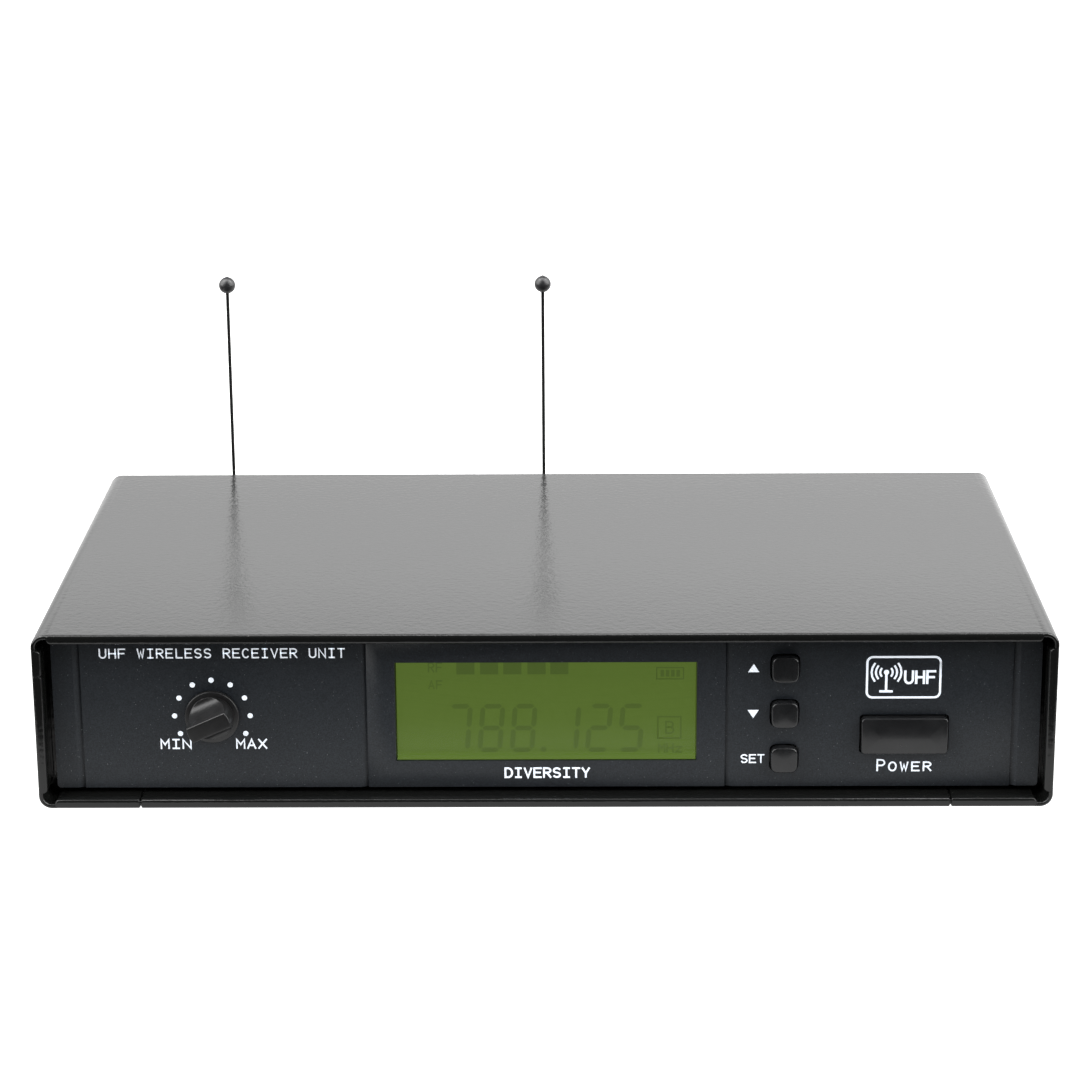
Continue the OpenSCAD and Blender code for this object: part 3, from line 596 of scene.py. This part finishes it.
def build_case():
    """The cover and the tray: bent sheets with a hem along every straight front and rear edge."""
    half_w, half_h = CASE_W / 2, CASE_H / 2
    path, outward, bare = bent_path()
    front = BARE_SETBACK * (1 - bare)
    solids = [sheet_ring(path, outward, front, CASE_D - front)]
    x, z = half_w - HEM_INSET, half_h - HEM_INSET
    nick = half_h - NICK_DROP
    seam = (TRAY_HALF + FLANGE_X) / 2
    below_nick, above_nick = (-half_w, nick - NICK_GAP), (-half_w, nick + NICK_GAP)
    for rear, reach in ((False, HEM_FRONT), (True, HEM_REAR)):
        solids.append(hem((-x, half_h), (x, half_h), (0, 1), reach, rear))
        solids.append(hem((half_w, z), (half_w, -z), (1, 0), reach, rear))
        if rear:
            solids.append(hem((-half_w, -z), (-half_w, z), (-1, 0), reach, rear))
        else:
            solids.append(hem((-half_w, -z), below_nick, (-1, 0), reach, ends=("corner", "nick")))
            solids.append(hem(above_nick, (-half_w, z), (-1, 0), reach, ends=("nick", "corner")))
        left, right = (-seam - SEAM_GAP, -half_h), (seam + SEAM_GAP, -half_h)
        solids.append(hem((-x, -half_h), left, (0, -1), reach, rear, ("corner", "seam")))
        solids.append(hem(right, (x, -half_h), (0, -1), reach, rear, ("seam", "corner")))
    piece("case_cover", solids, "case_paint", hides=("cover",))

    solids = [slab((-TRAY_HALF, SHEET, -half_h), (TRAY_HALF, CASE_D - SHEET, -half_h + SHEET))]
    left, right = (SEAM_GAP - seam, -half_h), (seam - SEAM_GAP, -half_h)
    for rear, reach in ((False, HEM_FRONT), (True, HEM_REAR)):
        solids.append(hem(left, right, (0, -1), reach, rear, ("seam", "seam")))
    tray_edge = spot("tray")[1].x
    for side in (-1, 1):
        inner, outer = sorted((side * (TRAY_HALF - 2), side * tray_edge))
        low, high = -half_h + SHEET, -half_h + 2 * SHEET
        solids.append(slab((inner, HEM_FRONT + 2, low), (outer, CASE_D - HEM_REAR - 2, high)))
    piece("case_tray", solids, "case_paint", hides=("tray",))


# ---- knob and keys ----

FLANGE_T = 0.8
FLANGE_W = 0.9


def build_knob():
    """The volume knob: a disc with a wing across it.

    Across the wing the height is the knob's full height, then a quarter circle of 0.22 mm, then
    a quarter ellipse that starts square to the wing's face and lies level at the disc's rim.
    Along the wing each row drops by another quarter circle where it meets the disc's rim.
    """
    lo, hi = spot("volume_knob")
    cx, cz = (lo.x + hi.x) / 2, (lo.z + hi.z) / 2
    skirt = (hi.x - lo.x) / 2
    skirt_t = 1.0
    tall = hi.y - lo.y
    radius = 4.65
    wing = 1.7
    edge = 0.22
    shoulder = 0.5
    reach = radius - wing
    drop = tall - skirt_t - shoulder
    turn = np.linspace(0, math.pi / 2, 25)
    soft = np.linspace(0, math.pi / 2, 7)[:-1]
    side = np.concatenate([wing - edge + edge * np.sin(soft), wing + reach * (1 - np.cos(turn))])
    fall = np.concatenate([edge * (1 - np.cos(soft)), np.maximum(drop * np.sin(turn), edge)])
    flat = np.linspace(edge - wing, wing - edge, 7)[1:-1]
    across = np.concatenate([-side[::-1], flat, side])
    height = tall - np.concatenate([fall[::-1], np.zeros(len(flat)), fall])
    half = np.sqrt(np.maximum(radius**2 - across**2, 0.0))
    bend = np.linspace(0, math.pi / 2, 7)
    small = edge * np.minimum(half / edge, 1)[:, None]
    end = half[:, None] - small * (1 - np.cos(bend))
    dip = small * (1 - np.sin(bend))
    inner = (half[:, None] - small) * np.linspace(-1, 1, 15)[1:-1]
    u = np.concatenate([-end, inner, end[:, ::-1]], 1)
    down = np.concatenate([dip, 0 * inner, dip[:, ::-1]], 1)
    rows, count = u.shape
    w = np.repeat(across[:, None], count, 1)
    h = height[:, None] - down
    top = np.stack([u, w, h], 2).reshape(-1, 3)
    faces = lattice(rows, count).tolist()
    rim = [i * count + count - 1 for i in range(rows)]
    rim += [i * count for i in reversed(range(rows))]
    foot = top[rim] * (1, 1, 0) + (0, 0, skirt_t * 0.9)
    base = len(top)
    total = len(rim)
    faces += [[rim[i], rim[(i + 1) % total], base + (i + 1) % total, base + i] for i in range(total)]
    faces.append(list(range(base, base + total)))
    points = np.concatenate([top, foot])

    spin = np.linspace(0, 2 * math.pi, 65)[:-1]
    hollow = 2.0
    outside = [(0.1, 0), (0, 0.1), (0, 0.7), (0.05, 0.86), (0.14, 0.95), (0.3, skirt_t)]
    profile = [(hollow, 0), *((skirt - inwards, y) for inwards, y in outside), (hollow, skirt_t)]
    rings = [[(q * math.cos(a), q * math.sin(a), y) for a in spin] for q, y in profile]
    skirt_solid = tube(np.array(rings))

    lean = math.radians(24)
    turned = []
    for solid_points, solid_faces in ((points, faces), skirt_solid):
        x = cx + solid_points[:, 0] * math.cos(lean) - solid_points[:, 1] * math.sin(lean)
        z = cz + solid_points[:, 0] * math.sin(lean) + solid_points[:, 1] * math.cos(lean)
        turned.append((np.stack([x, hi.y - solid_points[:, 2], z], 1), solid_faces))
    piece("knob", turned, "knob_plastic", "volume", ("volume_knob",), sharp=50)


def superellipse(power=4.4, count=72):
    """Points where |x|^power + |z|^power = 1."""
    a = np.linspace(0, 2 * math.pi, count + 1)[:-1]
    axes = np.stack([np.cos(a), np.sin(a)], 1)
    return np.sign(axes) * np.abs(axes) ** (2 / power)


def build_key(node, body):
    """A key: superellipse rings that follow a wall, a rounded rim and a slightly crowned face."""
    lo, hi = spot(node)
    cx, cz = (lo.x + hi.x) / 2, (lo.z + hi.z) / 2
    half = 2.8
    rim = 0.42
    crown = 0.12
    collar = 3.7
    point = 0.001
    shoulder = hi.y - FLANGE_T
    turn = np.linspace(0, math.pi / 2, 7)
    scale = [point, collar, collar, half, half]
    depth = [hi.y, hi.y, shoulder, shoulder, lo.y + crown + rim]
    scale += list(half - rim + rim * np.cos(turn))[1:]
    depth += list(lo.y + crown + rim - rim * np.sin(turn))[1:]
    inner = np.linspace(1, point, 7)[1:]
    scale += list((half - rim) * inner)
    depth += list(lo.y + crown * inner**2)
    outline = superellipse()
    ring = np.stack([outline[:, 0], np.zeros(len(outline)), outline[:, 1]], 1)
    rings = ring[None] * np.array(scale)[:, None, None]
    rings[:, :, 1] = np.array(depth)[:, None]
    rings += (cx, 0, cz)
    piece("cap_" + node, [tube(rings)], "button_plastic", body, (node,), sharp=50)


def round_rect(half_w, half_h, radius, count=10):
    """Outline of a rectangle with round corners."""
    a = np.radians(np.linspace(0, 90, count))
    corners = []
    for k, (sx, sz) in enumerate(((1, 1), (-1, 1), (-1, -1), (1, -1))):
        t = a + k * math.pi / 2
        x = sx * (half_w - radius) + radius * np.cos(t)
        z = sz * (half_h - radius) + radius * np.sin(t)
        corners.append(np.stack([x, z], 1))
    return np.concatenate(corners)


def build_power_key():
    """The power key: rounded rectangles, each smaller than the last, laid on a cylinder's surface."""
    lo, hi = spot("power_button")
    cx, cz = (lo.x + hi.x) / 2, (lo.z + hi.z) / 2
    half_w, half_h = (hi.x - lo.x) / 2 - FLANGE_W, (hi.z - lo.z) / 2 - FLANGE_W
    corner = 0.8
    crown = 14.0
    rim = 0.3

    def ring(inset, radius, depth, bow=0):
        x, z = round_rect(half_w - inset, half_h - inset, radius).T
        y = depth + bow * (crown - np.sqrt(crown**2 - z**2))
        return np.stack([cx + x, y, cz + z], 1)

    back = hi.y - FLANGE_T
    rings = [ring(-FLANGE_W, corner, hi.y), ring(-FLANGE_W, corner, back), ring(0, corner, back)]
    rounded = rim * (1 - np.cos(np.linspace(0, math.pi / 2, 7)))
    for inset in (*rounded, 0.6, 1.0, 1.6, 2.4, 3.2, 3.8, 4.15):
        drop = rim - math.sqrt(max(rim**2 - max(rim - inset, 0) ** 2, 0))
        rings.append(ring(inset, max(corner - inset, 0.02), lo.y + drop, 1))
    solids = [tube(np.array(rings))]
    piece("cap_power", solids, "button_plastic", "power_key", ("power_button",), POWER_KEY, 50)


# ---- print ----

INK_ABOVE = 0.03
INK_BELOW = 0.02


def arc(cx, cz, rx, rz, start, end):
    a = np.radians(np.linspace(start, end, max(3, int(abs(end - start) / 18) + 1)))
    return [(cx + rx * math.cos(t), cz + rz * math.sin(t)) for t in a]


GLYPHS = {
    "A": [[(0, 0), (0.5, 1), (1, 0)], [(0.18, 0.33), (0.82, 0.33)]],
    "B": [
        [(0.5, 0.52), (0, 0.52), (0, 1), (0.5, 1), *arc(0.5, 0.76, 0.42, 0.24, 72, -90)],
        [(0.5, 0.52), *arc(0.5, 0.26, 0.5, 0.26, 72, -90), (0, 0), (0, 0.52)],
    ],
    "C": [arc(0.53, 0.5, 0.52, 0.5, 48, 312)],
    "D": [[(0.42, 0), (0, 0), (0, 1), (0.42, 1), *arc(0.42, 0.5, 0.58, 0.5, 72, -90)]],
    "E": [[(1, 1), (0, 1), (0, 0), (1, 0)], [(0, 0.52), (0.85, 0.52)]],
    "F": [[(1, 1), (0, 1), (0, 0)], [(0, 0.5), (0.85, 0.5)]],
    "H": [[(0, 0), (0, 1)], [(1, 0), (1, 1)], [(0, 0.5), (1, 0.5)]],
    "I": [[(0.1, 1), (0.9, 1)], [(0.5, 1), (0.5, 0)], [(0.1, 0), (0.9, 0)]],
    "L": [[(0.08, 1), (0.08, 0), (1, 0)]],
    "M": [[(0, 0), (0, 1), (0.5, 0.42), (1, 1), (1, 0)]],
    "N": [[(0, 0), (0, 1), (1, 0), (1, 1)]],
    "O": [arc(0.5, 0.5, 0.5, 0.5, 0, 360)],
    "P": [[(0, 0), (0, 1), (0.5, 1), *arc(0.5, 0.74, 0.5, 0.26, 72, -90), (0, 0.48)]],
    "R": [
        [(0, 0), (0, 1), (0.5, 1), *arc(0.5, 0.75, 0.48, 0.25, 72, -90), (0, 0.5)],
        [(0.45, 0.5), (1, 0)],
    ],
    "S": [[*arc(0.5, 0.75, 0.47, 0.25, 30, 270), *arc(0.5, 0.25, 0.47, 0.25, 72, -150)]],
    "T": [[(0, 1), (1, 1)], [(0.5, 1), (0.5, 0)]],
    "U": [[(0, 1), *arc(0.5, 0.32, 0.5, 0.32, 180, 360), (1, 1)]],
    "V": [[(0, 1), (0.5, 0), (1, 1)]],
    "W": [[(0, 1), (0.25, 0), (0.5, 0.72), (0.75, 0), (1, 1)]],
    "X": [[(0, 0), (1, 1)], [(0, 1), (1, 0)]],
    "Y": [[(0, 1), (0.5, 0.46), (1, 1)], [(0.5, 0.46), (0.5, 0)]],
    "z": [[(0, 0.62), (1, 0.62), (0, 0), (1, 0)]],
}


def stroke(points, width, depth):
    """A ribbon of ink: the path offset to both sides, mitred at its corners and given a thickness."""
    p = np.array(points, float)
    closed = np.allclose(p[0], p[-1]) and len(p) > 3
    step = np.diff(p, axis=0)
    step /= np.linalg.norm(step, axis=1)[:, None] + 1e-12
    before = np.concatenate([step[-1:] if closed else step[:1], step])
    after = np.concatenate([step, step[:1] if closed else step[-1:]])
    tangent = before + after
    tangent /= np.linalg.norm(tangent, axis=1)[:, None] + 1e-12
    normal = np.stack([-tangent[:, 1], tangent[:, 0]], 1)
    mitre = np.clip(1 / np.maximum((tangent * after).sum(1), 0.2), 1, 2.2)[:, None]
    if not closed:
        p[0] -= step[0] * width * 0.4
        p[-1] += step[-1] * width * 0.4
    left, right = p + normal * mitre * width / 2, p - normal * mitre * width / 2
    front, back = np.full(len(p), depth - INK_ABOVE), np.full(len(p), depth + INK_BELOW)
    corners = [(left, front), (right, front), (right, back), (left, back)]
    rings = np.stack([np.stack([q[:, 0], y, q[:, 1]], 1) for q, y in corners], 1)
    return tube(rings)


def plate(outline, depth):
    """A flat shape of ink or film from its outline."""
    x, z = np.array(outline, float).T
    levels = (depth + INK_BELOW, depth - INK_ABOVE)
    return tube(np.array([np.stack([x, np.full(len(x), y), z], 1) for y in levels]))


def disc(cx, cz, radius, depth):
    a = np.linspace(0, 2 * math.pi, 29)[:-1]
    return plate(np.stack([cx + radius * np.cos(a), cz + radius * np.sin(a)], 1), depth)


def word(text, x, z, wide, tall, pitch, width, depth, small=1.0):
    """Strokes of a word whose first letter starts at x and whose feet stand at z.

    After the first letter the letters are small times as tall.
    """
    solids = []
    for k, letter in enumerate(text):
        size = 1.0 if k == 0 else small
        for path in GLYPHS.get(letter, ()):
            q = np.array(path, float) * (wide, tall * size)
            q += (x + k * pitch, z)
            solids.append(stroke(q, width, depth))
    return solids


def build_print():
    """The front's words, the dots round the knob, the keys' triangles and the radio sign."""
    knob_lo, knob_hi = spot("volume_knob")
    kx, kz = (knob_lo.x + knob_hi.x) / 2, (knob_lo.z + knob_hi.z) / 2
    ink = word("UHF WIRELESS RECEIVER UNIT", -92.4, 12.85, 1.3, 1.9, 1.985, 0.29, PANEL)
    ink += word("MIN", -80.35, -7.25, 1.6, 1.95, 2.3, 0.34, PANEL)
    ink += word("MAX", -64.5, -7.25, 1.6, 1.95, 2.3, 0.34, PANEL)
    ink += word("SET", 41.1, -10.7, 1.25, 1.7, 1.75, 0.3, PANEL)
    ink += word("POWER", 69.6, -12.6, 1.5, 2.4, 2.42, 0.34, PANEL, 0.78)
    ink += word("DIVERSITY", -8.3, -13.9, 1.4, 2.0, 2.02, 0.4, PANEL)
    dot_r, dots_r = 0.56, 7.9
    for a in np.radians(np.arange(-120, 121, 30)):
        ink.append(disc(kx + dots_r * math.sin(a), kz + dots_r * math.cos(a), dot_r, PANEL))
    ink.append(plate([(42.3, 9.35), (44.65, 9.35), (43.48, 11.15)], PANEL))
    ink.append(plate([(42.3, 1.0), (43.48, -0.8), (44.65, 1.0)], PANEL))
    ink += badge(74.6, 8.15)
    piece("legends", ink, "white_plastic", finish=INK_PAINTED_GLOW, sharp=80)


def badge(cx, cz):
    """A radio sign in a rounded frame: a mast with waves on both sides, and the band's letters."""
    frame_line = round_rect(7.6, 4.45, 1.2)
    solids = [stroke(np.concatenate([frame_line, frame_line[:1]]) + (cx, cz), 0.45, PANEL)]
    mast = cx - 3.6
    solids.append(stroke([(mast, cz - 3.1), (mast, cz + 0.9)], 0.5, PANEL))
    solids.append(stroke([(mast - 1.2, cz - 3.1), (mast + 1.2, cz - 3.1)], 0.5, PANEL))
    solids.append(disc(mast, cz + 1.1, 0.55, PANEL))
    for r in (1.3, 2.2, 3.1):
        for middle in (0, 180):
            solids.append(stroke(arc(mast, cz + 1.1, r, r, middle - 38, middle + 38), 0.42, PANEL))
    return solids + word("UHF", cx + 0.3, cz - 1.3, 1.6, 2.6, 2.3, 0.5, PANEL)


DIGITS = {"1": "bc", "2": "abged", "5": "afgcd", "7": "abc", "8": "abcdefg"}


def digit(symbol, right, low):
    """A seven-segment figure: six-sided bars on a leaning frame, with a small gap between them."""
    tall = 10.8
    wide = 5.2
    bar = 1.05
    gap = 0.16
    lean = 0.08
    margin = 0.85
    mid = tall / 2
    flat = {"a": tall - bar / 2, "g": mid, "d": bar / 2}
    far = wide - bar
    upright = {"f": (0, mid, tall), "b": (far, mid, tall), "e": (0, 0, mid), "c": (far, 0, mid)}
    solids = []
    for name in DIGITS[symbol]:
        if name in flat:
            z, h = flat[name], bar / 2
            x0, x1 = h + gap, wide - h - gap
            shape = [(x0, z), (x0 + h, z - h), (x1 - h, z - h)]
            shape += [(x1, z), (x1 - h, z + h), (x0 + h, z + h)]
        else:
            x0, low_z, high_z = upright[name]
            z0 = low_z + gap + (bar / 2 if low_z == 0 else 0)
            z1 = high_z - gap - (bar / 2 if high_z == tall else 0)
            h, m = bar / 2, x0 + bar / 2
            shape = [(m, z0), (m + h, z0 + h), (m + h, z1 - h)]
            shape += [(m, z1), (m - h, z1 - h), (m - h, z0 + h)]
        shape = np.array(shape)
        shape[:, 0] += right - wide - margin + lean * shape[:, 1]
        shape[:, 1] += low
        solids.append(plate(shape, LCD))
    return solids


def build_segments():
    """The display's figures and marks, and a glowing strip along the window's lower edge that is a painted
    highlight of the opening's lit rim.
    """
    marks = []
    for symbol, right in zip("788125", (-15.0, -8.2, -1.45, 7.75, 14.4, 21.15)):
        marks += digit(symbol, right, -9.45)
    marks.append(disc(-0.3, -8.8, 0.62, LCD))
    for x in (-18.4, -13.45, -8.6, -3.55, 1.2):
        marks.append(plate([(x, 7.9), (x + 3.8, 7.9), (x + 3.8, 11.4), (x, 11.4)], LCD))
    marks += word("RF", -24.2, 8.5, 1.1, 1.9, 1.65, 0.32, LCD)
    marks += word("AF", -24.2, 4.75, 1.1, 1.75, 1.65, 0.32, LCD)
    box = [(23.7, -6.4), (28.5, -6.4), (28.5, -1.6), (23.7, -1.6), (23.7, -6.4)]
    marks.append(stroke(box, 0.34, LCD))
    marks += word("B", 25.4, -5.3, 1.6, 2.6, 2, 0.38, LCD)
    marks += word("MHz", 23.9, -9.5, 1.25, 1.85, 1.75, 0.34, LCD)
    cell = [(23.4, 6.8), (29.0, 6.8), (29.0, 9.3), (23.4, 9.3), (23.4, 6.8)]
    marks.append(stroke(cell, 0.26, LCD))
    for x in (24.2, 25.3, 26.4, 27.5):
        marks.append(plate([(x, 7.3), (x + 0.75, 7.3), (x + 0.75, 8.8), (x, 8.8)], LCD))
    raise_marks = (0, 0, 0.15)
    marks = [(points + raise_marks, faces) for points, faces in marks]
    # The strip glows in the display's colour: a painted highlight standing in for the light caught by the
    # window opening's lower rim.
    lo, hi = spot("display_window")
    strip_lo = (lo.x + 0.05, lo.y + 0.15, lo.z + 0.02)
    strip_hi = (hi.x - 0.05, hi.y - 0.02, lo.z + 0.08)
    piece("lit_edge", [slab(strip_lo, strip_hi)], "lcd_glass")
    piece("segments", marks, "lcd_glass", finish=SEGMENT, sharp=80)


# ---- other pieces ----


def slanted_grooves(co):
    """Moves the outer foot of each groove inwards and sinks the inner one, so that the floor slopes."""
    grooves = (97.7, 38.1)
    groove_half = 0.75
    groove_depth = 0.4
    inwards = 1.0
    deeper = 0.15
    near = 0.05
    panel_lo, panel_hi = spot("front_panel")
    x, depth = co[:, 0] / MM, co[:, 1] / MM - Y_LIP
    foot = np.abs(depth - PANEL - groove_depth) < near
    away = np.abs(x - (panel_lo.x + panel_hi.x) / 2)
    for middle in grooves:
        outer = foot & (np.abs(away - middle - groove_half) < near)
        co[outer, 0] -= np.sign(x[outer]) * inwards * MM
        inner = foot & (np.abs(away - middle + groove_half) < near)
        co[inner, 1] += deeper * MM
    return co


ROUNDED = ("xlr_shell", "output_jack", "dc_inlet", "jack_nut", "antenna_nuts", "feet", "rear_panel")


def build_others():
    """The front panel with its grooves, and the parts whose edges are only rounded."""
    softened("front_panel", 0.2, slanted_grooves)
    for node in ROUNDED:
        softened(node, 0.25)
    for letter in "ab":
        softened(f"antenna_{letter}_fork", 0.2)
        softened(f"antenna_{letter}_hub", 0.15)


def sheet_on_stage(name, lo, hi, up, finish):
    mesh = bpy.data.meshes.new(name)
    corners = [(lo[0], lo[1], up), (hi[0], lo[1], up), (hi[0], hi[1], up), (lo[0], hi[1], up)]
    mesh.from_pydata(corners, [], [(0, 1, 2, 3)])
    mesh.materials.append(finish.material)
    obj = bpy.data.objects.new(name, mesh)
    bpy.context.scene.collection.objects.link(obj)
    return obj


def build_floor():
    """A lit white table that stays pale in the object's shadow.

    Reflections show only the part of it near the object, and the dark room beyond.
    """
    f = Finish("white_table", roughness=0.6, specular_ior_level=0.1, emission_strength=0.8)
    cloud = f.noise(2, 2)
    f.colour(f.blend(cloud, (0.42, 0.42, 0.42), (0.45, 0.45, 0.45)))
    f.put(f.shader.inputs["Emission Color"], (1, 1, 1))
    table = sheet_on_stage("table", (-5, -5), (5, 6), 0, f)
    table.visible_glossy = False
    table.visible_diffuse = False
    f = Finish("lit_patch", roughness=0.8, specular_ior_level=0.0, emission_strength=1.2)
    front = Y_LIP * MM
    glow = f.axis("Y").step(front - 0.052, front - 0.034)
    f.colour((0, 0, 0))
    f.put(f.shader.inputs["Emission Color"], f.blend(glow, (0, 0, 0), (1, 1, 1)))
    lo, hi = (-0.17, front - 0.055), (0.17, 0.06 - front)
    near = sheet_on_stage("lit_patch", lo, hi, 0.0003, f)
    near.visible_camera = False
    near.visible_shadow = False


look()
studio()
build_floor()
build_case()
build_knob()
build_key("up_button", "up_key")
build_key("down_button", "down_key")
build_key("set_button", "set_key")
build_power_key()
build_print()
build_segments()
build_others()
